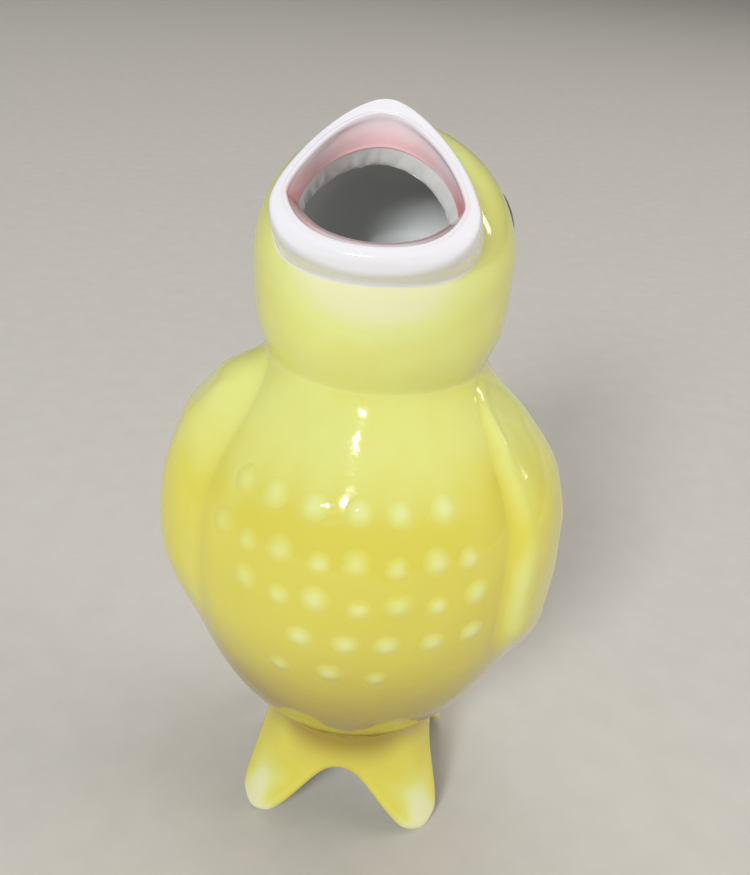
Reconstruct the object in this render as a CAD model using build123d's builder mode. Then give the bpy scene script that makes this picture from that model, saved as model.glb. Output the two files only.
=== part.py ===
from build123d import *
import os
from math import cos, radians, sin

os.makedirs("parts", exist_ok=True)

# A hollow ceramic chick that vents the steam of a pie. Millimetres, +Z up, the bird faces -Y.
# Each moulded, luted, cut or painted feature is a solid of its own that meets its neighbours face to face.

# ---- Driving dimensions ----
wall = 2.4                    # thickness of the cast clay

seam_height = 14.5            # table to the seam between the base and the belly
seam_to_belly = 23.5          # seam to the widest part of the belly
belly_to_neck = 21.5          # widest part of the belly to the crease under the head
neck_to_head = 9.5            # crease to the centre of the head

seam_radius = 10.2
belly_radius = 20.8
neck_radius = 11.1
head_radius = 12.8

# Pulls of the curves that join those rings, and the angles they leave the rings at, from level.
seam_pull, seam_angle = 11.2, 40
belly_pull_down, belly_pull_up = 4.0, 11.0
neck_pull, neck_angle = 10.0, 117.5
jowl_pull, jowl_angle = 1.4, 45
cheek_pull = 5.5

mouth_tilt = 38               # how far the open mouth looks up from level
rim_proud = 1.6               # the rim's plane lies this far outside the head's ball
corner_drop = 1.0             # beak corners below the mouth's axis
# Half width, rise of the peak above the mouth's axis, and drop of the lip below it.
beak_outline = (9.1, 9.1, 6.6)
hole_outline = (6.9, 5.6, 3.5)
# How far each curve of such an outline runs on: up and down at a corner (as a share of the rise or
# drop), and sideways at the peak and at the lip (as a share of the half width).
beak_runs = (0.31, 0.62, 0.36, 0.6)
hole_runs = (0.5, 0.45, 0.5, 0.55)
rim_width = 1.5               # from the rim's outer edge to the start of the inner bevel
rim_round = 0.6               # radius of the rim's outer edge
beak_taper = 5                # the beak narrows towards the head by this angle
beak_root_angle = 60          # the beak's root reaches this far round the head's ball from its axis

lip_overhang = 0.3            # the base's top edge stands out from the belly
waist_radius = 9.7            # narrowest part of the base
waist_drop = 3.0              # seam down to the waist
foot_radius = 14.3            # outer edge of the feet on the table
arch_height = 9.3
arch_half_width = 8.0

wing_relief = 2.1             # height of the folded wings above the flanks
wing_inside = 8.0             # the wing starts this far off the middle plane
# The wing's outline from the side: back from the body's axis, and up from the belly's widest part.
wing_outline = ((-7.7, 16.0), (-14.0, 1.0), (-7.0, -11.5), (15.0, -16.0), (15.0, 1.0), (7.5, 15.0))

tail_reach = 1.8              # the tail's tip stands this far behind the belly
tail_oval = 9.0               # half width of the oval, seen from above, that rounds the tail's sides
tail_top_drop = 5.0           # belly's widest part down to the tail's top and bottom
tail_bottom_drop = 15.0
tail_roundness = 3.0

eye_rise = 5.0                # centre of the eye above and behind the head's centre
eye_back = 2.0
eye_half_sizes = (1.5, 2.1)
eye_lean = 20
enamel = 0.3                  # thickness of the enamel

pip_width = 2.2
pip_rise = 0.3
# Each row: its share of the flank's length above the seam, its first pip's angle off the middle,
# the angle between pips, and how many it holds.
pip_rows = (
    (0.79, -38.5, 13.5, 6),
    (0.69, -41.0, 11.0, 8),
    (0.60, -29.0, 11.0, 7),
    (0.50, -11.0, 12.0, 5),
    (0.40, -17.0, 14.0, 3),
)

belly_height = seam_height + seam_to_belly
neck_height = belly_height + belly_to_neck
head_height = neck_height + neck_to_head
rim_standoff = head_radius + rim_proud


def along(point, length, angle):
    """The point at a length from another, at an angle from level."""
    return point[0] + length * cos(radians(angle)), point[1] + length * sin(radians(angle))


# ---- Forms shared by the pieces: solid blanks, as a mould would hold them ----
def flank_curves(girth):
    """The body's outline from the seam up to the neck, as wide as girth at the belly."""
    seam, belly, neck = (seam_radius, seam_height), (girth, belly_height), (neck_radius, neck_height)
    lower = Bezier(seam, along(seam, seam_pull, seam_angle), along(belly, -belly_pull_down, 90), belly)
    upper = Bezier(belly, along(belly, belly_pull_up, 90), along(neck, -neck_pull, neck_angle), neck)
    return lower, upper


def body_blank(girth):
    """A solid body, cut level at the seam and at the neck."""
    with BuildPart() as blank:
        with BuildSketch(Plane.XZ):
            with BuildLine():
                flank_curves(girth)
                Polyline(
                    (neck_radius, neck_height), (0, neck_height), (0, seam_height), (seam_radius, seam_height)
                )
            make_face()
        revolve(axis=Axis.Z)
    return blank.part


def head_blank(thicker=0.0):
    """A solid head, cut level at the neck, grown by thicker."""
    neck = (neck_radius + thicker, neck_height)
    cheek = (head_radius + thicker, head_height)
    crown = (0, head_height + head_radius + thicker)
    with BuildPart() as blank:
        with BuildSketch(Plane.XZ):
            with BuildLine():
                Bezier(neck, along(neck, jowl_pull, jowl_angle), along(cheek, -cheek_pull, 90), cheek)
                RadiusArc(cheek, crown, -(head_radius + thicker))
                Polyline(crown, (0, neck_height), neck)
            make_face()
        revolve(axis=Axis.Z)
    return blank.part


body_form = body_blank(belly_radius)
head_form = head_blank()

# The mouth's plane: x to the bird's left, y up the mouth, z out along the mouth's axis.
mouth_axis = Vector(0, -cos(radians(mouth_tilt)), sin(radians(mouth_tilt)))
head_centre = Vector(0, 0, head_height)
mouth_base = Plane(origin=head_centre, x_dir=(1, 0, 0), z_dir=mouth_axis)
mouth_plane = mouth_base.offset(rim_standoff)
mouth_line = Axis(head_centre, mouth_axis)


def mouth_curves(outline, runs, corner=0.0):
    """A closed outline: a peak above, a rounder lip below, and a corner on each side, corner below its axis."""
    half_width, rise, drop = outline
    corner_up, corner_down, peak_run, lip_run = runs
    for side in (1, -1):
        end = (side * half_width, -corner)
        above = (side * half_width, -corner + corner_up * (rise + corner))
        below = (side * half_width, -corner - corner_down * (drop - corner))
        Bezier(end, above, (side * peak_run * half_width, rise), (0, rise))
        Bezier(end, below, (side * lip_run * half_width, -drop), (0, -drop))


# ---- Body: hollow torso, open at the neck and at the seam ----
with BuildPart() as body_shell:
    add(body_form)
    offset(amount=-wall, openings=body_shell.faces().filter_by(GeomType.PLANE))
    # The joint with the base is bored as wide as the base's waist.
    with Locations((0, 0, seam_height)):
        Cylinder(
            waist_radius - wall,
            seam_to_belly,
            align=(Align.CENTER, Align.CENTER, Align.MIN),
            mode=Mode.SUBTRACT,
        )

# ---- Head: hollow, open at the neck, with the mouth cut through its wall ----
with BuildPart() as head_shell:
    add(head_form)
    add(head_blank(-wall), mode=Mode.SUBTRACT)
    with BuildSketch(mouth_base):
        with BuildLine():
            mouth_curves(hole_outline, hole_runs)
        make_face()
    extrude(amount=rim_standoff, mode=Mode.SUBTRACT)

# ---- Beak: a raised rim around the mouth, split at its corners ----
rim_depth = rim_standoff - head_radius * cos(radians(beak_root_angle))
with BuildPart() as beak_rim:
    with BuildSketch(mouth_plane):
        with BuildLine():
            mouth_curves(beak_outline, beak_runs, corner_drop)
        make_face()
    extrude(amount=-rim_depth, taper=beak_taper)
    fillet(beak_rim.faces().sort_by(mouth_line)[-1].edges(), rim_round)
    with BuildSketch(mouth_plane):
        with BuildLine():
            mouth_curves([reach - rim_width for reach in beak_outline], beak_runs, corner_drop)
        make_face()
    with BuildSketch(mouth_base.offset(head_radius - wall)):
        with BuildLine():
            mouth_curves(hole_outline, hole_runs)
        make_face()
    loft(mode=Mode.SUBTRACT)
    add(head_form, mode=Mode.SUBTRACT)

corner_plane = Plane(mouth_plane.from_local_coords((0, -corner_drop, 0)), z_dir=mouth_plane.y_dir)
with BuildPart() as upper_beak:
    add(beak_rim.part)
    split(bisect_by=corner_plane, keep=Keep.TOP)
with BuildPart() as lower_beak:
    add(beak_rim.part)
    split(bisect_by=corner_plane, keep=Keep.BOTTOM)

# ---- Base: a flared hollow skirt, cut by four arches that leave four feet ----
with BuildPart() as foot_skirt:
    lip_radius = seam_radius + lip_overhang
    with BuildSketch(Plane.XZ):
        with BuildLine():
            Spline(
                (foot_radius, 0),
                (waist_radius, seam_height - waist_drop),
                (lip_radius, seam_height),
                tangents=((-0.2, 1), (0.5, 1)),
            )
            Polyline((lip_radius, seam_height), (0, seam_height), (0, 0), (foot_radius, 0))
        make_face()
    revolve(axis=Axis.Z)
    offset(amount=-wall, openings=foot_skirt.faces().filter_by(GeomType.PLANE))
    for turn in (0, 90):
        with BuildSketch(Plane.XZ.rotated((0, 0, turn))):
            with BuildLine():
                Bezier((-arch_half_width, 0), (0, 2 * arch_height), (arch_half_width, 0))
                Line((arch_half_width, 0), (-arch_half_width, 0))
            make_face()
        extrude(amount=2 * foot_radius, both=True, mode=Mode.SUBTRACT)


# ---- Wings: folded against the flanks, in low relief ----
with BuildPart() as right_wing:
    with BuildSketch(Plane.YZ.offset(-wing_inside)):
        with BuildLine():
            Spline([(back, belly_height + up) for back, up in wing_outline], periodic=True)
        make_face()
    extrude(amount=-(belly_radius + wing_relief))
    add(body_blank(belly_radius + wing_relief), mode=Mode.INTERSECT)
    add(body_form, mode=Mode.SUBTRACT)
with BuildPart() as left_wing:
    add(right_wing.part.mirror(Plane.YZ))

# ---- Tail: a short rounded wedge at the lower back ----
tip = belly_radius + tail_reach
tail_top, tail_bottom = belly_height - tail_top_drop, belly_height - tail_bottom_drop
under_tip, on_tip = (tip - tail_roundness, tail_bottom), (tip, tail_bottom + tail_roundness)
rump = (belly_radius - tail_roundness, tail_top)
with BuildPart() as tail:
    with BuildSketch(Plane.YZ):
        with BuildLine():
            Polyline(rump, (0, tail_top), (0, tail_bottom), under_tip)
            Bezier(under_tip, (tip, tail_bottom), on_tip)
            Bezier(on_tip, (tip - tail_roundness, tail_top - tail_roundness), rump)
        make_face()
    extrude(amount=tail_oval, both=True)
    with BuildSketch(Plane.XY):
        Ellipse(tail_oval, tip)
    extrude(amount=belly_height, mode=Mode.INTERSECT)
    add(body_form, mode=Mode.SUBTRACT)


# ---- Eyes: dark enamel on the sides of the head ----
def eye(side):
    """A painted eye on the +X side (side = 1) or the -X side (side = -1)."""
    with BuildPart() as paint:
        lean = Vector(0, cos(radians(eye_lean)), sin(radians(eye_lean)))
        centre = (0, eye_back, head_height + eye_rise)
        with BuildSketch(Plane(origin=centre, x_dir=lean, z_dir=(side, 0, 0))):
            Ellipse(*eye_half_sizes)
        extrude(amount=2 * head_radius)
        add(head_blank(enamel), mode=Mode.INTERSECT)
        add(head_form, mode=Mode.SUBTRACT)
    return paint


left_eye = eye(1)
right_eye = eye(-1)

# ---- Breast pips: rows of low dots on the breast ----
flank_line = Wire(flank_curves(belly_radius))
pip_ball = (pip_width**2 / 4 + pip_rise**2) / (2 * pip_rise)
with BuildPart() as breast_pips:
    for share, first, spacing, count in pip_rows:
        spot, rise = flank_line @ share, flank_line % share
        reach = spot.X - rise.Y * (pip_ball - pip_rise)
        height = spot.Y + rise.X * (pip_ball - pip_rise)
        for step in range(count):
            angle = radians(first + step * spacing)
            with Locations((reach * sin(angle), -reach * cos(angle), height)):
                Sphere(pip_ball)
    add(body_form, mode=Mode.SUBTRACT)

# ---- Every piece is moved so that the bird stands centred over the origin, then written ----
pieces = {
    "body_shell": body_shell,
    "head_shell": head_shell,
    "upper_beak": upper_beak,
    "lower_beak": lower_beak,
    "foot_skirt": foot_skirt,
    "left_wing": left_wing,
    "right_wing": right_wing,
    "tail": tail,
    "left_eye": left_eye,
    "right_eye": right_eye,
    "breast_pips": breast_pips,
}
front = min(piece.part.bounding_box().min.Y for piece in pieces.values())
back = max(piece.part.bounding_box().max.Y for piece in pieces.values())
centred = Location((0, -(front + back) / 2, 0))
for name, piece in pieces.items():
    placed = piece.part.moved(centred)
    placed.label = name
    export_step(placed, f"parts/{name}.step")
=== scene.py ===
import bmesh
import bpy
import numpy as np
from mathutils import Matrix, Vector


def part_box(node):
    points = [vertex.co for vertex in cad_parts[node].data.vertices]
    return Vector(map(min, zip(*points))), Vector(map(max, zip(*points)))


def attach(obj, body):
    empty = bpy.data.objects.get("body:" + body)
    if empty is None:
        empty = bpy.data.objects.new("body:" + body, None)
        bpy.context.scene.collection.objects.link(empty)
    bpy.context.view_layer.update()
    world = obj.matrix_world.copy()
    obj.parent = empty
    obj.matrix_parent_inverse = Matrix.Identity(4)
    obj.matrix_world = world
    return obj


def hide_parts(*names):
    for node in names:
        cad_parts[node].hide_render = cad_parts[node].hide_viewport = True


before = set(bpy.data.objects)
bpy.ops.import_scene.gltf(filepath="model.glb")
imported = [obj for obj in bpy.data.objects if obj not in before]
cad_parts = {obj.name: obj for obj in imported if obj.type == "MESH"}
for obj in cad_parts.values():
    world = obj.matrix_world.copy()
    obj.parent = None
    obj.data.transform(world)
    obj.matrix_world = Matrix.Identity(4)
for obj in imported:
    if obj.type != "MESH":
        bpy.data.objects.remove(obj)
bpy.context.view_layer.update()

millimetres = 1000
body_low, body_high = (np.array(corner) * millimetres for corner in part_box("body_shell"))
head_low, head_high = (np.array(corner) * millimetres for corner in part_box("head_shell"))
axis_y = (body_low[1] + body_high[1]) / 2
crease_height = body_high[2]
seam_height, seam_radius = 14.5, 10.2
belly_height, belly_radius = 38.0, (body_high[0] - body_low[0]) / 2
neck_radius, head_radius = 11.1, (head_high[0] - head_low[0]) / 2
head_height = head_high[2] - head_radius
wall = 2.4
turns, profile_steps = 288, 2400
columns = np.arange(turns) * 360 / turns


def bezier(points, count=240):
    """Points along one cubic curve, from its two ends and two handles."""
    t = np.linspace(0, 1, count)[:, None]
    a, b, c, d = np.array(points, float)
    return (1 - t) ** 3 * a + 3 * (1 - t) ** 2 * t * b + 3 * (1 - t) * t**2 * c + t**3 * d


def ease(x):
    """From 0 to 1 with soft ends."""
    x = np.clip(x, 0, 1)
    return x * x * (3 - 2 * x)


def wobble(angle, seed, waves=(2, 3, 5, 8)):
    """The small unevenness of handwork around a ring, from -1 to 1."""
    turn = np.radians(angle)
    return sum(np.sin(n * turn + seed * n * n) for n in waves) / len(waves)


# The outline as (radius, height): seam, belly, neck and widest ring of the head, with the curves' handles.
seam, belly = (seam_radius, seam_height), (belly_radius, belly_height)
neck, cheeks = (neck_radius, crease_height), (head_radius, head_height)
lower_flank = [seam, (18.8, 21.7), (belly_radius, 34.0), belly]
upper_flank = [belly, (belly_radius, 49.0), (15.7, 50.6), neck]
jowl = [neck, (12.1, 60.5), (head_radius, 63.5), cheeks]
flank_curve = np.vstack([bezier(lower_flank), bezier(upper_flank)])
jowl_curve = bezier(jowl)

# The clay is sponged to a soft valley where the head sits on the shoulders.
shoulder_slope, jowl_slope = 0.52, 1.0
valley_softness, valley_sink, valley_reach = 1.1, 0.3, 2.4
heights = np.linspace(seam_height, head_height, profile_steps)
above = np.maximum(heights - crease_height, 0)
below = np.maximum(crease_height - heights, 0)
shoulder_line = np.interp(heights, flank_curve[:, 1], flank_curve[:, 0]) - shoulder_slope * above
jowl_line = np.interp(heights, jowl_curve[:, 1], jowl_curve[:, 0]) - jowl_slope * below
outline = (shoulder_line + jowl_line + np.hypot(shoulder_line - jowl_line, valley_softness)) / 2
outline = outline - valley_sink * np.exp(-((above + below) / valley_reach) ** 2)
slopes = np.gradient(outline, heights)
near_neck = np.abs(heights - crease_height) < valley_reach
valley_height = heights[near_neck][np.argmin(outline[near_neck])]
valley_radius = outline[near_neck].min()


def on_body(angle, height, lift):
    """A point on the torso, lifted off the clay. Its angle is from the front towards the bird's left."""
    radius, slope = np.interp(height, heights, outline), np.interp(height, heights, slopes)
    lean = np.hypot(1, slope)
    reach, turn = radius + lift / lean, np.radians(angle)
    return np.stack([reach * np.sin(turn), -reach * np.cos(turn), height - lift * slope / lean], -1)


def piece_of(name, points, faces, coats, fold=50):
    """A smooth closed piece from points in millimetres about the bird's axis. coats are what the glaze does
    at each point. Edges that fold more than fold degrees stay crisp."""
    mesh = bpy.data.meshes.new(name)
    mesh.from_pydata([tuple(p) for p in (points + [0, axis_y, 0]) / millimetres], [], faces)
    shape = bmesh.new()
    shape.from_mesh(mesh)
    bmesh.ops.recalc_face_normals(shape, faces=shape.faces)
    shape.to_mesh(mesh)
    shape.free()
    mesh.shade_smooth()
    mesh.set_sharp_from_angle(angle=np.radians(fold))
    for coat, amounts in coats.items():
        mesh.attributes.new(coat, "FLOAT", "POINT").data.foreach_set("value", np.float32(amounts))
    piece = bpy.data.objects.new(name, mesh)
    bpy.context.scene.collection.objects.link(piece)
    return piece


def ring_faces(a, b, around):
    """The faces between two rings of points, which start at a and at b."""
    return [(a + j, a + (j + 1) % around, b + (j + 1) % around, b + j) for j in range(around)]


def thrown(name, rings, coats):
    """A ring-shaped piece: each row of points goes round, and the last row joins the first."""
    rows, around = rings.shape[:2]
    faces = []
    for i in range(rows):
        faces += ring_faces(i * around, (i + 1) % rows * around, around)
    coats = {coat: np.broadcast_to(amounts, (rows, around)).ravel() for coat, amounts in coats.items()}
    return piece_of(name, rings.reshape(-1, 3), faces, coats)


class Coat:
    """A shader socket. Sums, differences and products of it add their Math nodes."""

    def __init__(self, tree, socket):
        self.tree, self.socket = tree, socket

    def node(self, kind, settings, sockets, output=0):
        made = self.tree.nodes.new(kind)
        for key, setting in settings.items():
            setattr(made, key, setting)
        for key, given in sockets.items():
            if isinstance(given, Coat):
                self.tree.links.new(given.socket, made.inputs[key])
            else:
                made.inputs[key].default_value = given
        return Coat(self.tree, made.outputs[output])

    def maths(self, operation, first, second):
        return self.node("ShaderNodeMath", {"operation": operation}, {0: first, 1: second})

    def __add__(self, other):
        return self.maths("ADD", self, other)

    def __sub__(self, other):
        return self.maths("SUBTRACT", self, other)

    def __rsub__(self, other):
        return self.maths("SUBTRACT", other, self)

    def __mul__(self, other):
        return self.maths("MULTIPLY", self, other)

    __radd__, __rmul__ = __add__, __mul__

    def between(self, low, high):
        """How far this value is from low to high, from 0 to 1 with soft ends."""
        return self.node(
            "ShaderNodeMapRange",
            {"interpolation_type": "SMOOTHSTEP"},
            {"Value": self, "From Min": low, "From Max": high},
        )

    def blend(self, first, second):
        """A colour from first to second as this value goes from 0 to 1."""
        settings = {"data_type": "RGBA", "clamp_factor": True}
        return self.node("ShaderNodeMix", settings, {0: self, 6: first, 7: second}, 2)

    def under(self, colour, amount):
        """This colour with another brushed over it by amount."""
        return amount.blend(self, colour)

    def coat(self, name):
        """What the piece's points say of this coat."""
        return self.node("ShaderNodeAttribute", {"attribute_name": name}, {}, 2)

    def clouds(self, place, size, detail=2.0):
        """Soft blotches of about size millimetres, around one half."""
        sockets = {"Vector": place, "Scale": millimetres / size, "Detail": detail}
        return self.node("ShaderNodeTexNoise", {}, sockets)


def fired(name, paint):
    """A glazed finish. paint gives colour, roughness, relief and its depth from the place on the piece."""
    material = bpy.data.materials.new(name)
    material.use_nodes = True
    tree = material.node_tree
    shader = tree.nodes["Principled BSDF"]
    place = Coat(tree, tree.nodes.new("ShaderNodeTexCoord").outputs["Object"])
    colour, roughness, relief, depth = paint(place)
    tree.links.new(colour.socket, shader.inputs["Base Color"])
    tree.links.new(roughness.socket, shader.inputs["Roughness"])
    normal = place.node("ShaderNodeBump", {}, {"Strength": 1.0, "Distance": depth, "Height": relief})
    tree.links.new(normal.socket, shader.inputs["Normal"])
    shader.inputs["IOR"].default_value = 1.5
    shader.inputs["Coat Weight"].default_value = 0.3
    shader.inputs["Coat Roughness"].default_value = 0.03
    return material


# The pale lime colour stands both for glaze that ran thin and for painted light.
lemon, thin_and_lit_straw, cream = (0.76, 0.68, 0.10, 1), (0.79, 0.82, 0.28, 1), (0.84, 0.82, 0.48, 1)
# The deep brownish yellow stands both for glaze that pooled and for painted shade.
amber_and_shade, porcelain, speck_brown = (0.40, 0.28, 0.035, 1), (0.90, 0.91, 0.89, 1), (0.10, 0.06, 0.03, 1)
# Levels between which painted light makes the glaze paler up the shoulders and a little less pale on the
# head, and painted shade makes it deeper low on the belly, fading out above the toes.
lit_shoulder_band, lit_head_band, low_shade_band, toe_band = (45.0, 56.0), (56.0, 60.0), (22.0, 37.0), (9.0, 14.0)
blotch_size, mottle_size, grit_spacing = 9.0, 2.2, 7.0
grit_edge, grit_chance, speck_strength = (0.018, 0.032), (0.8, 0.9), 0.85
# Pinholes fired into the glaze: angle, height, how far off the flank, and size.
pinholes = ((67.1, 45.2, 1.9, 0.42), (47.5, 47.1, 1.0, 0.26))


def specks(place):
    """1 on the few dark specks of grit and on the pinholes, 0 elsewhere."""
    sockets = {"Vector": place, "Scale": millimetres / grit_spacing, "Randomness": 1.0}
    grit, lot = (place.node("ShaderNodeTexVoronoi", {"feature": "F1"}, sockets, output) for output in (0, 1))
    lucky = place.node("ShaderNodeSeparateColor", {}, {0: lot}, 0).between(*grit_chance)
    speck = (1 - grit.between(*grit_edge)) * lucky
    for angle, level, lift, size in pinholes:
        pinhole = tuple((on_body(angle, level, lift) + [0, axis_y, 0]) / millimetres)
        gap = place.node("ShaderNodeVectorMath", {"operation": "DISTANCE"}, {0: place, 1: pinhole}, 1)
        speck = speck + 1 - (gap * millimetres).between(size * 0.6, size)
    return speck


def lemon_colour(place):
    """Lemon glaze: deeper where it pools, pale where it runs thin, paler up the shoulders where light is
    painted on, and deeper where shade is painted on: low on the belly, low on the right side and on the base
    under the belly.
    """
    height = place.node("ShaderNodeSeparateXYZ", {}, {0: place}, 2) * millimetres
    blotch, mottle = place.clouds(place, blotch_size, 3.0), place.clouds(place, mottle_size)
    drift = (blotch - 0.5) * 0.9 + (mottle - 0.5) * 0.35
    # Painted light: paler up the shoulders, a little less so on the head.
    upper = height.between(*lit_shoulder_band) * 0.75 - height.between(*lit_head_band) * 0.1
    # Painted shade: deeper low on the belly, fading out above the toes.
    lower = (1 - height.between(*low_shade_band)) * height.between(*toe_band)
    # The pooling coat holds glaze pooled in hollows and also painted shade low on the right side and under
    # the belly.
    thin, pool = place.coat("thin"), place.coat("pool")
    runs = (upper + drift * 0.7 + thin * 1.2 - pool * 0.8).blend(lemon, thin_and_lit_straw)
    runs = runs.under(amber_and_shade, pool * 0.28 + lower * 0.85)
    runs = runs.under(cream, (thin + drift * 0.25).between(0.35, 1.0))
    runs = runs.under(speck_brown, specks(place) * speck_strength)
    return runs.under(porcelain, place.coat("inside"))


def lemon_glaze(place):
    """The glaze is glossy, faintly rippled like orange peel, and duller where it was left thin inside."""
    ripple = place.clouds(place, 6.0, 1.0) + place.clouds(place, 1.1) * 0.06
    roughness = 0.07 + place.clouds(place, 3.0) * 0.07 + place.coat("inside") * 0.12
    return lemon_colour(place), roughness, ripple, 0.00035


yellow_glaze = fired("lemon_glaze", lemon_glaze)

outer_rows, inner_rows = 210, 50
outer_z = seam_height + (valley_height - seam_height) * np.linspace(0, 1, outer_rows)
outer_r = np.interp(outer_z, heights, outline)
inner_z = outer_z[:: -outer_rows // inner_rows]
inner_z = np.append(inner_z[inner_z > seam_height], seam_height)
inner_r = np.interp(inner_z, heights, outline) - wall
body_r, body_z = np.append(outer_r, inner_r), np.append(outer_z, inner_z)
turn = np.radians(columns)
body_x, body_y = body_r[:, None] * np.sin(turn), -body_r[:, None] * np.cos(turn)
body_rings = np.stack([body_x, body_y, body_z[:, None] + 0 * turn], -1)
inside = np.append(np.zeros(len(outer_z)), np.ones(len(inner_z)))[:, None]
torso = thrown("torso", body_rings, {"thin": 0.0, "pool": 0.0, "inside": inside})
torso.data.materials.append(yellow_glaze)
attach(torso, "root")
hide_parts("body_shell")

# ---- Head ----
# The round hollow head, cast in one with the torso and tipped back. The mouth is cut through its wall
# while the clay is soft, which leaves a rough white edge inside the beak. The inside has clear glaze only.
mouth_tilt = np.radians(38.0)
mouth_axis = np.array([0, -np.cos(mouth_tilt), np.sin(mouth_tilt)])
mouth_up = np.array([0, np.sin(mouth_tilt), np.cos(mouth_tilt)])
head_centre = np.array([0, 0, head_height])
mouth_shift = -0.3
hole_size, hole_corner, hole_runs = (7.05, 5.7, 3.4), -0.1, (0.45, 0.42, 0.5, 0.55)
quarter = turns // 4


def mouth_outline(size, corner, runs, seed, unevenness, pinch=(1.0, 1.0)):
    """The mouth's outline at one depth, as (across, up) in its plane: a peak above, a rounder lip below and
    a corner on each side, corner below its axis. It starts at the peak and goes round by the bird's left.
    pinch below 1 makes the corners pointed, above and below."""
    half_width, rise, drop = size
    corner_up, corner_down, peak_run, lip_run = runs
    end = (half_width, -corner)
    over = (half_width * pinch[0], -corner + corner_up * (rise + corner))
    beneath = (half_width * pinch[1], -corner - corner_down * (drop - corner))
    top = bezier([(0, rise), (peak_run * half_width, rise), over, end], quarter + 1)[:-1]
    bottom = bezier([end, beneath, (lip_run * half_width, -drop), (0, -drop)], quarter + 1)
    right = np.vstack([top, bottom])
    ring = np.vstack([right, right[-2:0:-1] * [-1, 1]])
    return ring * (1 + unevenness * wobble(columns, seed))[:, None] + [mouth_shift, 0]


def at_mouth(ring, depth):
    """Points of a mouth outline in space, depth along the mouth's axis from the head's centre."""
    flat = ring[..., :1] * np.array([1, 0, 0]) + ring[..., 1:] * mouth_up
    return head_centre + flat + np.asarray(depth)[..., None] * mouth_axis


def on_ball(ring, radius):
    """How deep a mouth outline lies on a ball about the head's centre."""
    return np.sqrt(np.maximum(radius**2 - (ring**2).sum(-1), 0))


def sweep(start, end, rows, radius_at):
    """Rings over the head from start directions to end directions, both unit vectors."""
    gap = np.arccos(np.clip((start * end).sum(-1), -1, 1))[None, :, None]
    t = np.linspace(0, 1, rows)[:, None, None]
    ways = (np.sin((1 - t) * gap) * start + np.sin(t * gap) * end) / np.sin(gap)
    lean = np.arctan2(ways[..., 2], np.hypot(ways[..., 0], ways[..., 1]))
    return head_centre + ways * radius_at(lean)[..., None]


def unit(v):
    return v / np.linalg.norm(v, axis=-1, keepdims=True)


jaw = heights >= valley_height
jaw_lean = np.arctan2(heights[jaw] - head_height, outline[jaw])
jaw_reach = np.hypot(heights[jaw] - head_height, outline[jaw])
inner_lean = np.arctan2(heights[jaw] - head_height, outline[jaw] - wall)
inner_reach = np.hypot(heights[jaw] - head_height, outline[jaw] - wall)
hole = mouth_outline(hole_size, hole_corner, hole_runs, 1.3, 0.01, (0.95, 0.88))
hole_edge = at_mouth(hole, on_ball(hole, head_radius))
# Column j of the mouth, counted from the peak, comes down to the neck half a turn from the front.
neck_turn = np.radians(180 - columns)
neck_ring = np.stack([np.sin(neck_turn), -np.cos(neck_turn), 0 * neck_turn], -1)
neck_outer = unit(neck_ring * valley_radius + [0, 0, valley_height - head_height])
neck_inner = unit(neck_ring * (valley_radius - wall) + [0, 0, valley_height - head_height])
skin_rows, lining_rows, cut_steps, bare_from = 120, 60, 8, 112
hole_way = unit(hole_edge - head_centre)
skin = sweep(neck_outer, hole_way, skin_rows, lambda lean: np.interp(lean, jaw_lean, jaw_reach))
# The knife went in a little askew, so the cut shows more on the bird's left.
knife_taper, knife_shift = [0.96, 0.94], [-0.45, -0.12]
inner_flat = hole * knife_taper + knife_shift
inner_way = unit(at_mouth(inner_flat, on_ball(inner_flat, head_radius - wall)) - head_centre)
lining = sweep(inner_way, neck_inner, lining_rows, lambda lean: np.interp(lean, inner_lean, inner_reach))
# The clay tore and dragged a little behind the knife.
ragged = 0.30 * wobble(columns, 2.1, (9, 14, 23)) + 0.22 * wobble(columns, 4.4, (31, 47))
dragged = 0.35 * (1 + wobble(columns, 0.7, (17, 29)))
cut = []
for depth in np.arange(1, cut_steps) / cut_steps:
    torn = (hole_edge * (1 - depth) + lining[0] * depth) + mouth_axis * (ragged * depth)[:, None]
    cut.append(torn + unit(head_centre - torn) * (dragged * depth * np.sin(np.pi * depth))[:, None])
head_rings = np.vstack([skin, np.array(cut), lining])
bare_rows = ease((np.arange(skin_rows) - bare_from) / 3)
skin_inside = np.concatenate([bare_rows, np.ones(len(cut) + len(lining))])[:, None]
# Near the beak the yellow was wiped thin, most of all on the throat.
from_middle = head_rings - head_centre
off_axis = np.degrees(np.arccos(np.clip((unit(from_middle) * mouth_axis).sum(-1), -1, 1)))
wiped_to, wiped_fade, throat_fade, throat_drop = 38.0, 26.0, 24.0, 9.0
wiped = 0.25 * (1 - ease((off_axis - wiped_to) / wiped_fade))
throat = 0.75 * ease(-(from_middle * mouth_up).sum(-1) / throat_drop)
head_thin = wiped + throat * (1 - ease((off_axis - wiped_to) / throat_fade))
ball = thrown("head", head_rings, {"thin": head_thin, "pool": 0.0, "inside": skin_inside})
ball.data.materials.append(yellow_glaze)
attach(ball, "root")
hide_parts("head_shell")

# ---- Beak ----
# The open beak is a raised rim modelled on the head around the mouth: a peaked upper beak with a fine ridge
# and a thick rolled lower lip. White glaze covers it, with pink brushed inside the rim and at the corners.
beak_size, beak_corner, beak_runs = (9.1, 9.2, 6.35), 1.0, (0.31, 0.62, 0.38, 0.6)
crest_size, crest_corner, crest_runs = (7.75, 7.5, 4.7), 0.3, (0.30, 0.58, 0.45, 0.6)
rim_height = 14.4
outer = mouth_outline(beak_size, beak_corner, beak_runs, 0.6, 0.006)
crest = mouth_outline(crest_size, crest_corner, crest_runs, 0.9, 0.006, (0.98, 0.94))
away = unit(outer - [mouth_shift, 0])
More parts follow.
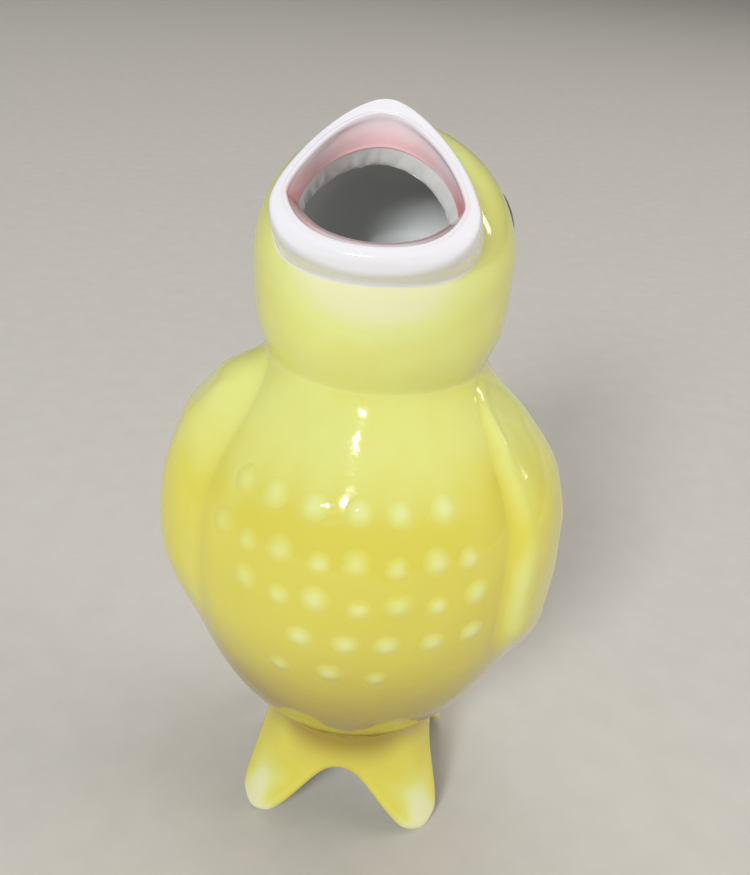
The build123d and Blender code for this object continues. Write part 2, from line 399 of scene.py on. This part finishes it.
# lip is 1 in the middle of the lower lip and 0 from the corners of the mouth upwards.
from_lip = np.abs(np.arange(turns) - turns / 2)
lip = ease(np.maximum(1 - from_lip / quarter, 0))[:, None]


def ring_at(flat, depth):
    return at_mouth(flat, np.broadcast_to(depth, (turns,)))


def from_ball(flat, lift):
    return at_mouth(flat, on_ball(flat, head_radius) + lift)


def mixed(upper, lower):
    """A depth that goes from the upper beak's to the lip's."""
    return upper + (lower - upper) * lip[:, 0]


hole_depth = on_ball(hole, head_radius)
rim_drop = rim_height - hole_depth
# Each ring of the rim, from the root on the head, up the wall, over the crest and down into the mouth, with
# how much yellow runs onto it from the head and how much pink was brushed on it.
rim = [
    (from_ball(outer + away * (0.95 - 0.25 * lip), -0.02), 1.0, 0.0),
    (from_ball(outer + away * (0.55 - 0.1 * lip), 0.08), 0.8, 0.0),
    (from_ball(outer + away * 0.28, 0.45), 0.4, 0.0),
    (ring_at(outer + away * 0.22, mixed(12.1, 12.0)), 0.1, 0.0),
    (ring_at(outer + away * 0.18 * lip, mixed(13.45, 13.1)), 0.0, 0.0),
    (ring_at(outer - away * (0.22 + 0.1 * lip), mixed(13.98, 13.85)), 0.0, 0.03),
    (ring_at(outer * 0.5 + crest * 0.5, mixed(14.2, 14.3)), 0.0, 0.05),
    (ring_at(crest + away * 0.32, mixed(14.3, 14.38)), 0.0, 0.08),
    (ring_at(crest, mixed(14.5, 14.36)), 0.0, 0.15),
    (ring_at(crest - away * (0.22 + 0.1 * lip), mixed(14.22, 14.2)), 0.0, 0.28),
    (ring_at(crest * 0.72 + hole * 0.28, rim_height - rim_drop * mixed(0.26, 0.2)), 0.0, 0.5),
    (ring_at(crest * 0.40 + hole * 0.60, rim_height - rim_drop * mixed(0.56, 0.45)), 0.0, 0.7),
    (ring_at(crest * 0.12 + hole * 0.88, rim_height - rim_drop * mixed(0.84, 0.78)), 0.0, 0.95),
    (at_mouth(hole, hole_depth + 0.12), 0.0, 1.0),
    (at_mouth(hole + away * 0.25, hole_depth - 0.3), 0.0, 1.0),
    (from_ball(crest, -0.7), 0.0, 0.5),
    (from_ball(outer + away * 0.4, -0.6), 0.8, 0.0),
]


def looped(rows, steps):
    """A smooth closed curve through each column of rows, by Catmull-Rom."""
    rows = np.array(rows)
    before, after, beyond = np.roll(rows, 1, 0), np.roll(rows, -1, 0), np.roll(rows, -2, 0)
    t = (np.arange(steps) / steps).reshape((1, steps) + (1,) * (rows.ndim - 1))
    p0, p1, p2, p3 = (r[:, None] for r in (before, rows, after, beyond))
    curve = p1 + 0.5 * t * (p2 - p0 + t * (2 * p0 - 5 * p1 + 4 * p2 - p3 + t * (3 * (p1 - p2) + p3 - p0)))
    return curve.reshape((-1,) + rows.shape[1:])


steps = 7
rim_rings = looped([ring for ring, root, blush in rim], steps)
rim_root = np.clip(looped([[root] for ring, root, blush in rim], steps), 0, 1)
rim_blush = np.clip(looped([[blush] for ring, root, blush in rim], steps), 0, 1)
# The pink is strongest in the corners and weakest on the lip, and the yellow was wiped back from the lip.
corner_reach, corner_blush, lip_blush, upper_blush, lip_wiped = 13.0, 1.4, 0.6, 0.25, 0.65
corner_near = np.exp(-(((from_lip - quarter) / corner_reach) ** 2))
blush_share = lip_blush + upper_blush * (1 - lip[:, 0]) + corner_near * corner_blush
blush_here = np.clip(rim_blush * blush_share, 0, 1.8) * (1 + 0.25 * wobble(columns, 5.1, (3, 7, 11)))
root_here = rim_root * (1 - lip_wiped * lip[:, 0])
along = np.roll(rim_rings, -1, 1) - np.roll(rim_rings, 1, 1)
across = np.roll(rim_rings, -1, 0) - np.roll(rim_rings, 1, 0)
rim_normals = unit(np.cross(along, across))
middle = rim_rings.mean(0)
if ((rim_rings - middle) * rim_normals).sum() < 0:
    rim_normals = -rim_normals

lilac_white, rose, deep_rose = (0.87, 0.84, 0.88, 1), (0.96, 0.60, 0.62, 1), (0.92, 0.30, 0.34, 1)


def beak_glaze(place):
    """White glaze with a breath of lilac, pink where it was brushed on, and yellow at the root."""
    blush, root = place.coat("blush"), place.coat("root")
    brush = (place.clouds(place, 2.6, 3.0) - 0.5) * 0.5
    milk = (blush + brush * blush).between(0.05, 0.95).blend(lilac_white, rose)
    milk = milk.under(deep_rose, (blush + brush * 0.5).between(0.95, 1.5) * 0.6)
    colour = milk.under(lemon_colour(place), (root + brush * 0.3).between(0.15, 0.95))
    ripple = place.clouds(place, 4.0, 1.0) + place.clouds(place, 0.9, 2.0) * 0.06
    return colour, 0.06 + place.clouds(place, 2.0) * 0.06, ripple, 0.0002


pink_glaze = fired("rose_glaze", beak_glaze)
# Below this level above the head's centre the yellow at the beak's root is as thin as on the throat.
throat_level = 8.0


def half_beak(name, columns_here, node):
    """One half of the rim as a closed piece, with the whole rim's smooth shading carried across the cut."""
    span, rows = len(columns_here), rim_rings.shape[0]
    points = rim_rings[:, columns_here].transpose(1, 0, 2)
    normals = rim_normals[:, columns_here].transpose(1, 0, 2)
    ends = [points[0], points[-1]]
    verts, norms = [points.reshape(-1, 3)], [normals.reshape(-1, 3)]
    coats = {
        "blush": [blush_here[:, columns_here].T.ravel()],
        "root": [root_here[:, columns_here].T.ravel()],
    }
    faces = []
    for i in range(span - 1):
        a, b = i * rows, (i + 1) * rows
        faces += [(a + j, b + j, b + (j + 1) % rows, a + (j + 1) % rows) for j in range(rows)]
    total = span * rows
    for end, edge in enumerate(ends):
        beyond = points[1] if end == 0 else points[-2]
        facing_out = unit(edge.mean(0) - beyond.mean(0))
        verts.append(edge)
        norms.append(np.broadcast_to(facing_out, (rows, 3)))
        for coat in coats:
            coats[coat].append(coats[coat][0][:rows] if end == 0 else coats[coat][0][-rows:])
        cap = tuple(range(total, total + rows))
        faces.append(cap[::-1] if end == 0 else cap)
        total += rows
    verts, norms = np.vstack(verts), np.vstack(norms)
    a, b, c = faces[0][:3]
    if (np.cross(verts[b] - verts[a], verts[c] - verts[a]) * norms[a]).sum() < 0:
        faces = [face[::-1] for face in faces]
    mesh = bpy.data.meshes.new(name)
    mesh.from_pydata([tuple(p) for p in (verts + [0, axis_y, 0]) / millimetres], [], faces)
    mesh.shade_smooth()
    mesh.normals_split_custom_set_from_vertices([tuple(n) for n in norms])
    coats = {coat: np.concatenate(amounts) for coat, amounts in coats.items()}
    coats["thin"] = 0.3 + 0.5 * (verts[:, 2] < head_height + throat_level)
    coats["pool"] = coats["inside"] = np.zeros(len(verts))
    for coat, amounts in coats.items():
        mesh.attributes.new(coat, "FLOAT", "POINT").data.foreach_set("value", np.float32(amounts))
    piece = bpy.data.objects.new(name, mesh)
    bpy.context.scene.collection.objects.link(piece)
    piece.data.materials.append(pink_glaze)
    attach(piece, "root")
    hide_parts(node)
    return piece


half_beak("beak_upper", np.arange(-quarter, quarter + 1) % turns, "upper_beak")
half_beak("beak_lower", np.arange(quarter, 3 * quarter + 1), "lower_beak")

# ---- Wings ----
# Folded wings in low relief on both flanks, pressed from the same mould as the torso. Their front edges
# stand up as a soft ridge where the glaze runs thin and pale, and it pools in the valley before them.
wing_outline = (
    (59, 57.5), (50, 46.0), (46, 38.0), (49.5, 31.0), (66, 24.5), (100, 20.5),
    (132, 20.5), (142, 28.0), (138, 42.0), (118, 54.5), (86, 59.8),
)
wing_middle, belly_reach = (94.0, 40.0), 19.0
# Height of each wing above the flank at each level: the left one and the right one aren't quite alike.
left_relief = (
    (20, 0.3), (24, 2.5), (28, 2.3), (33, 1.5), (38, 1.2), (46, 1.5), (53, 1.0), (57, 0.1), (60, 0.0),
)
right_relief = (
    (20, 0.4), (24, 0.6), (28, 0.8), (33, 1.35), (38, 1.9), (46, 2.35), (50, 2.8), (57, 2.4), (60, 2.0),
)


# A raised form's edge dips this far under the clay around it, so that it runs out without a step.
feather_dip = 0.012


def closed_line(points, count):
    """A smooth closed line through the points."""
    points = np.array(points, float)
    line = looped(points, 40)
    steps_along = np.linalg.norm(np.roll(line, -1, 0) - line, axis=1)
    reach = np.append(0, np.cumsum(steps_along))
    wanted = np.linspace(0, reach[-1], count, endpoint=False)
    line = np.vstack([line, line[:1]])
    return np.stack([np.interp(wanted, reach, line[:, k]) for k in (0, 1)], -1)


def flat_map(spots):
    """(angle, height) spots as millimetres along the belly."""
    spots = np.asarray(spots, float)
    return np.stack([np.radians(spots[..., 0]) * belly_reach, spots[..., 1]], -1)


def distance_to(spots, line):
    """How far each spot is from a closed line, in millimetres."""
    spots, start = flat_map(spots).reshape(-1, 2), flat_map(line)
    step = np.roll(start, -1, 0) - start
    t = ((spots[:, None] - start) * step).sum(-1) / (step**2).sum(-1)
    near = start + step * np.clip(t, 0, 1)[..., None]
    return np.sqrt(((spots[:, None] - near) ** 2).sum(-1)).min(1)


def fan_faces(start, around, tip):
    """The faces that close a ring of points, which starts at start, with a point at tip."""
    return [(start + j, start + (j + 1) % around, tip) for j in range(around)]


def pad(name, line, centre, lift_at, coats_at, material, node, layers=56, place=on_body, depth=0.7):
    """A low raised form on the clay inside a closed line, with a hidden back let into the wall."""
    line, centre = np.array(line, float), np.array(centre, float)
    inward = (np.linspace(0, 1, layers, endpoint=False) ** 1.25)[:, None, None]
    spots = line * (1 - inward) + centre * inward
    rows, around = spots.shape[:2]
    top = place(spots[..., 0], spots[..., 1], lift_at(spots))
    hub = place(centre[0], centre[1], lift_at(centre[None, None])[0, 0])
    back_spots = spots[:: layers // 8]
    inset = np.minimum(np.arange(len(back_spots)), 1.0)[:, None] * depth + feather_dip
    back = place(back_spots[..., 0], back_spots[..., 1], -inset + 0 * back_spots[..., 0])
    back_hub = place(centre[0], centre[1], -depth)
    points = np.vstack([top.reshape(-1, 3), hub[None], back[1:].reshape(-1, 3), back_hub[None]])
    faces = []
    for i in range(rows - 1):
        faces += ring_faces(i * around, (i + 1) * around, around)
    middle_point = rows * around
    faces += fan_faces(middle_point - around, around, middle_point)
    ring_starts = [0] + [middle_point + 1 + i * around for i in range(len(back_spots) - 1)]
    for a, b in zip(ring_starts, ring_starts[1:]):
        faces += [(a + j, b + j, b + (j + 1) % around, a + (j + 1) % around) for j in range(around)]
    a, end = ring_starts[-1], len(points) - 1
    faces += [(a + j, end, a + (j + 1) % around) for j in range(around)]
    coats = {}
    for coat, amounts in coats_at(spots).items():
        amounts = np.broadcast_to(amounts, spots.shape[:2])
        filler = np.broadcast_to(amounts[-1].mean(), (len(points) - amounts.size,))
        coats[coat] = np.append(amounts.ravel(), filler)
    piece = piece_of(name, points, faces, coats, fold=60)
    piece.data.materials.append(material)
    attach(piece, "root")
    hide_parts(node)


wing_line = closed_line(wing_outline, 300)


def wing_facing(spots):
    """1 along the wing's front edge, 0 along its back edge."""
    return 1 - ease((spots[..., 0] - 54.0) / 26.0)


def wing_lift(spots, levels=left_relief, crisp=1.0):
    """How far the wing stands off the flank. crisp is how sharply its front edge was pressed."""
    edge = distance_to(spots, wing_line).reshape(spots.shape[:2])
    angle, level = spots[..., 0], spots[..., 1]
    front = wing_facing(spots) * ease((level - 28.0) / 7.0) * crisp
    relief = np.interp(level, *np.array(levels, float).T)
    # The edge rises over 8.6 mm at the back, and over less in front and at the shoulder.
    rise = ease(edge / (8.6 - 5.0 * front - 2.4 * ease((level - 50.0) / 5.0)))
    ridge = 0.24 * front * np.exp(-((edge - 1.9) ** 2))
    # Long feathers, pressed so faintly that only their shine shows them.
    quill = (level - 40.0) + 0.22 * (angle - 60.0)
    feathers = 0.06 * np.sin(quill * 0.95) * ease((edge - 4.0) / 5.0) * ease((angle - 66.0) / 20.0)
    hollow = 0.1 * ease((edge - 3.0) / 4.0)
    return -feather_dip + (relief + feather_dip) * rise + ridge + feathers - hollow


def wing_coats(spots):
    """The glaze runs thin on the ridge, most of all low down, and pools in the valley before it."""
    edge = distance_to(spots, wing_line).reshape(spots.shape[:2])
    band = wing_facing(spots) * np.exp(-(((edge - 2.0) / 1.4) ** 2))
    lower = ease((46.0 - spots[..., 1]) / 5.0)
    valley = wing_facing(spots) * np.exp(-(edge**2))
    return {"thin": 0.5 * band * (0.25 + 0.75 * lower), "pool": 0.5 * valley, "inside": 0.0}


def right_coats(spots):
    """The right wing's edge is softer, so the glaze lies more evenly over it."""
    return {coat: 0.35 * np.asarray(amount) for coat, amount in wing_coats(spots).items()}


pad("wing_left", wing_line, wing_middle, wing_lift, wing_coats, yellow_glaze, "left_wing")
pad(
    "wing_right", wing_line, wing_middle, lambda spots: wing_lift(spots, right_relief, 0.2), right_coats,
    yellow_glaze, "right_wing",
    place=lambda angle, height, lift: on_body(-angle, height, lift),
)

# Glaze also pools on the torso along the front of each wing.
signed = (columns + 180) % 360 - 180
torso_spots = np.stack(np.broadcast_arrays(np.abs(signed)[None, :], body_z[:, None]), -1)
near_wing = (torso_spots[..., 0] > 30) & (torso_spots[..., 0] < 75) & (torso_spots[..., 1] > 20)
torso_pool = np.zeros(torso_spots.shape[:2])
torso_pool[near_wing] = 0.55 * np.exp(-((distance_to(torso_spots[near_wing], wing_line) / 2.6) ** 2))
fade_down = ease((torso_spots[..., 1] - 24.0) / 6.0) * (1 - ease((torso_spots[..., 1] - 50.0) / 6.0))
softer_side = np.where(columns > 180, 0.3, 1.0)
torso_pool = torso_pool * (0.1 + 0.9 * fade_down) * softer_side

# ---- Breast ----
# Rows of small raised dots on the breast, cast in the mould. Each soft dot shows pale through the glaze,
# which pools between them in a deeper yellow.
# Each row's level as a share of the torso's height, its first dot's angle, the step, and how many dots.
pip_rows = (
    (0.79, -38.5, 13.5, 6), (0.69, -41.0, 11.0, 8), (0.60, -29.0, 11.0, 7), (0.50, -11.0, 12.0, 5),
    (0.40, -17.0, 14.0, 3),
)
pip_radius, pip_rise = 1.6, 0.17
pip_spots = []
for row, (share, first, step, count) in enumerate(pip_rows):
    for k in range(count):
        shake = np.sin(7.3 * row + 3.1 * k)
        level = seam_height + share * (crease_height - seam_height) + 0.25 * shake
        pip_spots.append((first + step * k + 0.5 * np.cos(5.7 * row + 2.3 * k), level, 1 + 0.12 * shake))
pip_points, pip_faces, pip_thin = [], [], []
rings, around = 9, 28


def shows(angle):
    """How strongly a dot shows: the glaze is thicker on the bird's right, and buries them."""
    return 0.55 + 0.45 * ease((angle + 45.0) / 45.0)


for angle, height, size in pip_spots:
    start = sum(len(p) for p in pip_points)
    fade = shows(angle)
    rise = pip_rise * (0.6 + 0.4 * fade)
    spread = np.linspace(1, 0, rings, endpoint=False)[:, None] * pip_radius * size
    compass = np.radians(np.arange(around) * 360 / around)[None, :]
    girth = np.interp(height, heights, outline)
    angles = angle + np.degrees(spread * np.cos(compass) / girth)
    levels = height + spread * np.sin(compass) * 0.93
    share = (1 - (spread / (pip_radius * size)) ** 2) ** 2
    lifts = -feather_dip + (rise + feather_dip) * share + 0 * compass
    top = on_body(angles, levels, lifts).reshape(-1, 3)
    hub = on_body(angle, height, rise)
    back_hub = on_body(angle, height, -0.3)
    pip_points.append(np.vstack([top, hub[None], back_hub[None]]))
    pip_thin.append(np.append((fade * share + 0 * compass).ravel(), [fade, 0]))
    for i in range(rings - 1):
        pip_faces += ring_faces(start + i * around, start + (i + 1) * around, around)
    tip = start + rings * around
    pip_faces += fan_faces(tip - around, around, tip)
    pip_faces += [(start + (j + 1) % around, start + j, tip + 1) for j in range(around)]


def pool_of(spots):
    """How deep the glaze pools on the breast, 0 to 1."""
    across = 1 - ease((np.abs(spots[..., 0] - 2.0) - 30.0) / 16.0)
    return 0.38 * across * ease((spots[..., 1] - 27.0) / 8.0) * (1 - ease((spots[..., 1] - 48.0) / 7.0))


breast_pool = pool_of(np.stack(np.broadcast_arrays(signed[None, :], body_z[:, None]), -1))
torso_thin = np.zeros(breast_pool.shape)
breast_reach, halo_thin, halo_reach = 19.5, 0.34, 2.3
for angle, height, size in pip_spots:
    gap = np.hypot(np.radians(signed - angle)[None, :] * breast_reach, (body_z - height)[:, None])
    torso_thin = np.maximum(torso_thin, halo_thin * shows(angle) * np.exp(-((gap / halo_reach) ** 2)))
outside = 1 - inside
# Painted shade low on the bird's right side, laid in as deeper, pooled glaze.
lower_right_shade = 2.2 * ease((-signed - 4.0) / 40.0)[None, :] * (1 - ease((body_z[:, None] - 19.0) / 14.0))
torso_total = (np.clip(torso_pool + breast_pool, 0, 1) + lower_right_shade) * outside
torso.data.attributes["pool"].data.foreach_set("value", np.float32(torso_total.ravel()))
torso.data.attributes["thin"].data.foreach_set("value", np.float32((torso_thin * outside).ravel()))
pip_thin = np.concatenate(pip_thin)
pip_coats = {"thin": 0.24 + 0.34 * pip_thin, "pool": 0.3 * (1 - pip_thin), "inside": 0 * pip_thin}
pips = piece_of("pips", np.vstack(pip_points), pip_faces, pip_coats, fold=60)
pale_glaze = fired("pip_glaze", lemon_glaze)
pips.data.materials.append(pale_glaze)
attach(pips, "root")
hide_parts("breast_pips")

# ---- Tail ----
# A short blunt tail, pinched up from the back low on the torso and sponged smooth into it.
tail_angle, tail_height = 180.0, 27.6
tail_half_width, tail_half_height, tail_lift = 20.0, 4.9, 3.3
tail_line = [
    (tail_angle + tail_half_width * np.cos(a), tail_height + tail_half_height * np.sin(a))
    for a in np.radians(np.arange(200) * 360 / 200)
]


def tail_spread(spots):
    """How far each spot is from the tail's middle: 1 at its edge."""
    across = (spots[..., 0] - tail_angle) / tail_half_width
    up = (spots[..., 1] - tail_height) / tail_half_height
    return np.hypot(across, up)


def tail_lift_at(spots):
    """How far the tail stands off the back: a blunt hump that runs out at its edge."""
    share = np.clip(1 - tail_spread(spots) ** 2.4, 0, 1)
    return -feather_dip + tail_lift * share**1.35


pad(
    "tail_tip", tail_line, (tail_angle, tail_height - 0.6), tail_lift_at,
    lambda spots: {"thin": 0.3 * np.clip(1 - tail_spread(spots), 0, 1), "pool": 0.0, "inside": 0.0},
    yellow_glaze, "tail", layers=40,
)

# ---- Base ----
# The hollow base was cast apart, cut into four arches that leave four feet, and joined on with slip. Its top
# edge stands out as a fine uneven lip, and the glaze is thin over the toes.
skirt_height, arch_height, front_half, side_half, lip_out = seam_height, 8.5, 8.0, 7.1, 10.2
skirt_curve = np.vstack(
    [
        bezier([(15.1, 0), (14.0, 3.8), (10.15, 7.2), (9.85, 11.5)]),
        bezier([(9.85, 11.5), (9.78, 12.8), (10.0, 13.7), (lip_out, skirt_height)]),
    ]
)


def skirt_radius(height):
    """The base's outer radius at a height."""
    return np.interp(height, skirt_curve[:, 1], skirt_curve[:, 0])


skirt_turns = 480
skirt_angles = np.arange(skirt_turns) * 360 / skirt_turns
mid_radius, toe_angle = 13.0, 47.0
skirt_spin = np.radians(skirt_angles)
front_arch = arch_height * (1 - (mid_radius * np.sin(skirt_spin) / front_half) ** 2)
side_arch = arch_height * (1 - (mid_radius * np.cos(skirt_spin) / side_half) ** 2)
arch_line = np.maximum(front_arch, side_arch)
folded = np.abs((skirt_angles + 90) % 180 - 90)
lean_off = np.radians(np.abs(folded - toe_angle)) * mid_radius
toe_line = 1.3 * (1 - np.exp(-((lean_off / 2.4) ** 2)))
soft_edge = 0.8
edge_height = (arch_line + toe_line + np.sqrt((arch_line - toe_line) ** 2 + soft_edge**2)) / 2
edge_height = edge_height - edge_height.min()
edge_height = edge_height + 0.12 * wobble(skirt_angles, 3.3, (5, 9, 13)) * ease(edge_height / 4.0)
half_wall = wall / 2


def on_skirt(angle, height, side):
    """A point of the base: side is millimetres off the middle of its wall."""
    radius, spin = skirt_radius(height) - half_wall + side, np.radians(angle)
    return np.stack([radius * np.sin(spin), -radius * np.cos(spin), height + 0 * radius], -1)


edge_flat = np.stack([np.radians(skirt_angles) * mid_radius, edge_height], -1)
ahead, behind = np.roll(edge_flat, -1, 0), np.roll(edge_flat, 1, 0)
ahead[-1, 0] += 2 * np.pi * mid_radius
behind[0, 0] -= 2 * np.pi * mid_radius
run = unit(ahead - behind)
into_clay = np.stack([-run[:, 1], run[:, 0]], -1)
heart = edge_flat + into_clay * half_wall
heart_angle, heart_height = np.degrees(heart[:, 0] / mid_radius), heart[:, 1]
rise_rows, lip_rows = 44, 13
down = np.linspace(0, 1, rise_rows)[:, None]
rim_uneven = 0.16 * wobble(skirt_angles, 1.9, (3, 7, 12)) + 0.06 * wobble(skirt_angles, 6.1, (21, 34))
top_height = skirt_height + 0 * skirt_angles
wall_angle = skirt_angles * (1 - down) + heart_angle * down
wall_height = top_height * (1 - down) + heart_height * down
lip_flare = np.exp(-(((wall_height - skirt_height) / 0.55) ** 2))
front_flare = 0.4 * ((1 + np.cos(np.radians(skirt_angles))) / 2) ** 2
outer_wall = on_skirt(wall_angle, wall_height, half_wall + (rim_uneven + front_flare) * lip_flare)
inner_wall = on_skirt(wall_angle, wall_height, -half_wall)[::-1]
lip_turn = np.linspace(0, np.pi, lip_rows + 2)[1:-1, None]
lip_angle = np.degrees((heart[:, 0] - into_clay[:, 0] * half_wall * np.sin(lip_turn)) / mid_radius)
lip_height = heart[:, 1] - into_clay[:, 1] * half_wall * np.sin(lip_turn)
lip_wall = on_skirt(lip_angle, lip_height, half_wall * np.cos(lip_turn))
skirt_rings = np.vstack([outer_wall, lip_wall, inner_wall])
skirt_rings[..., 2] = np.maximum(skirt_rings[..., 2], 0)
toe_pale = 1 - ease(skirt_rings[..., 2] / 4.5)
crest_line = np.concatenate([down, np.ones((lip_rows, 1)), down[::-1]]) + 0 * skirt_angles
leg = np.exp(-((lean_off / 3.2) ** 2))
crest_pale = 0.8 * np.exp(-(((crest_line - 0.80) / 0.16) ** 2)) * leg
seam_pale = 0.3 * np.exp(-(((skirt_rings[..., 2] - skirt_height) / 0.5) ** 2))
skirt_inside = np.concatenate([np.zeros(rise_rows + lip_rows), np.ones(rise_rows)])[:, None]
# Painted shade on the base under the belly's overhang, deepest between the legs, laid in as pooled glaze.
seam_shade = (1.3 - 1.0 * leg) * np.exp(-(((skirt_rings[..., 2] - 11.3) / 3.0) ** 2))
skirt_thin = np.clip(0.95 * toe_pale + crest_pale + seam_pale, 0, 1)
base = thrown("base", skirt_rings, {"thin": skirt_thin, "pool": seam_shade, "inside": skirt_inside})
base.data.materials.append(yellow_glaze)
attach(base, "root")
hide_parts("foot_skirt")

# ---- Eyes ----
# A small almond of black enamel, painted with one brush stroke on each side of the head. It is fired on over
# the glaze, so it stands a hair proud of it.
eye_rise, eye_back, eye_half = 5.0, 2.0, (1.45, 2.0)
eye_lean, enamel = np.radians(20.0), 0.24
ink, ash = (0.018, 0.017, 0.016, 1), (0.16, 0.15, 0.12, 1)


def eye_glaze(place):
    """Black enamel, a little greyer where the brush ran dry."""
    stroke = place.clouds(place, 0.7, 4.0)
    dark = stroke.between(0.45, 0.75).blend(ink, ash)
    return dark, 0.08 + stroke * 0.12, place.clouds(place, 0.8, 3.0), 0.00008


dark_enamel = fired("dark_enamel", eye_glaze)


def on_cheek(side):
    """Places eye spots, in millimetres across and up, on the side of the head."""
    eye_side = side * np.sqrt(head_radius**2 - eye_rise**2 - eye_back**2)
    out = np.array([eye_side, eye_back, eye_rise]) / head_radius
    level = unit(np.cross(out, [0, 0, 1.0]) * side)
    upright = unit(np.cross(level, out) * side)
    upright = upright if upright[2] > 0 else -upright
    tilt_a = level * np.cos(eye_lean) + upright * np.sin(eye_lean)
    tilt_b = upright * np.cos(eye_lean) - level * np.sin(eye_lean)

    def place_on(across, up, lift):
        across, up = np.asarray(across, float)[..., None], np.asarray(up, float)[..., None]
        way = unit(out * head_radius + tilt_a * across + tilt_b * up)
        return head_centre + way * (head_radius + np.asarray(lift, float)[..., None])

    return place_on


brush = np.radians(np.arange(120) * 3.0)
almond = np.stack(
    [
        eye_half[0] * np.cos(brush) * (1 + 0.05 * np.sin(5 * brush + 1)),
        eye_half[1] * np.sin(brush) * (1 + 0.06 * np.sin(3 * brush)),
    ],
    -1,
)


def eye_lift(spots):
    """How thick the enamel is: a low drop with a soft edge."""
    reach = np.hypot(spots[..., 0] / eye_half[0], spots[..., 1] / eye_half[1])
    return -0.01 + enamel * np.sqrt(np.clip(1.08 - reach**2, 0, 1))


for side, name, node in ((1, "eye_left", "left_eye"), (-1, "eye_right", "right_eye")):
    pad(
        name, almond, (0.0, 0.0), eye_lift, lambda spots: {"inside": 0.0}, dark_enamel, node,
        layers=24, place=on_cheek(side), depth=0.25,
    )

# ---- Studio ----
# A plain pale floor, a soft window in front, a large light overhead, a reflector at the side, and three
# small lights for the shine on the chest, the flank and the back.
floor_mesh = bpy.data.meshes.new("floor")
half = 3.0
floor_corners = [(-half, -half, 0), (half, -half, 0), (half, half, 0), (-half, half, 0)]
floor_mesh.from_pydata(floor_corners, [], [(0, 1, 2, 3)])
floor = bpy.data.objects.new("floor", floor_mesh)
bpy.context.scene.collection.objects.link(floor)
paper_light, paper_dark = (0.66, 0.63, 0.59, 1), (0.60, 0.57, 0.53, 1)


def paper(place):
    """Matt paper with a faint fibre."""
    fibre = place.clouds(place, 5.0, 5.0)
    colour = fibre.blend(paper_light, paper_dark)
    return colour, 0.55 + fibre * 0.15, fibre, 0.0001


backdrop = fired("backdrop_paper", paper)
backdrop.node_tree.nodes["Principled BSDF"].inputs["Coat Weight"].default_value = 0.0
floor_mesh.materials.append(backdrop)


def turned(right, up, back, place):
    """The matrix that puts an object at place with its axes along right, up and back."""
    return Matrix(np.vstack([np.stack([right, up, back, place], -1), [0, 0, 0, 1]]).tolist())


def softbox(name, place, aim, size, power, tint):
    """A rectangular lamp at place, turned to aim, both in metres."""
    lamp = bpy.data.lights.new(name, "AREA")
    lamp.shape = "RECTANGLE"
    lamp.size, lamp.size_y = size
    lamp.energy, lamp.color = power, tint
    lamp_object = bpy.data.objects.new(name, lamp)
    place, aim = np.array(place, float), np.array(aim, float)
    back = unit(place - aim)
    side = unit(np.cross([0, 0, 1.0], back))
    up = np.cross(back, side)
    lamp_object.matrix_world = turned(side, up, back, place)
    bpy.context.scene.collection.objects.link(lamp_object)
    return lamp_object


chest = (0, axis_y / millimetres, 0.05)
window = softbox("window", (-0.36, -1.08, 0.70), chest, (0.28, 0.28), 10.6, (0.93, 0.98, 1.0))
overhead = softbox("overhead", (0.2, 0.25, 1.3), chest, (1.0, 1.0), 3.6, (1.0, 0.99, 0.96))
reflector = softbox("reflector", (1.0, 0.0, 0.45), chest, (0.5, 0.5), 3.0, (1.0, 0.98, 0.93))
for soft in (window, overhead, reflector):
    soft.visible_glossy = False
softbox("front_small", (-0.145, -0.95, 0.745), chest, (0.022, 0.022), 1.3, (0.98, 1.0, 1.0))
softbox("side_tall", (0.92, 0.40, 0.42), chest, (0.03, 0.3), 0.8, (1.0, 0.95, 0.88))
softbox("back_strip", (-0.3, 0.75, 1.1), chest, (0.9, 0.12), 2.0, (1.0, 0.99, 0.97))
world = bpy.data.worlds.new("studio")
world.use_nodes = True
bpy.context.scene.world = world
sky = world.node_tree.nodes["Background"]
sky.inputs["Color"].default_value = (1.0, 0.97, 0.93, 1)
sky.inputs["Strength"].default_value = 0.22
bpy.context.scene.view_settings.view_transform = "Standard"

# The camera stands in front of the bird and a little to its left, and looks down at it.
swing, heading, pitch, roll = np.radians((4.0, 3.7, 29.0, 4.5))
stand_off, eye_level, film_height = 93.0, 100.0, 36.0
focal_length = 978.0 * film_height / 875.0
forward = np.array([-np.sin(heading) * np.cos(pitch), np.cos(heading) * np.cos(pitch), -np.sin(pitch)])
level_right = np.array([np.cos(heading), np.sin(heading), 0])
level_up = np.cross(level_right, forward)
picture_right = level_right * np.cos(roll) + level_up * np.sin(roll)
picture_up = level_up * np.cos(roll) - level_right * np.sin(roll)
spot = np.array([stand_off * np.sin(swing), -stand_off * np.cos(swing) + axis_y, eye_level]) / millimetres
lens = bpy.data.cameras.new("camera")
lens.sensor_fit = "VERTICAL"
lens.sensor_height = film_height
lens.lens = focal_length
lens.clip_start = 0.005
camera = bpy.data.objects.new("camera", lens)
camera.matrix_world = turned(picture_right, picture_up, -forward, spot)
bpy.context.scene.collection.objects.link(camera)
bpy.context.scene.camera = camera
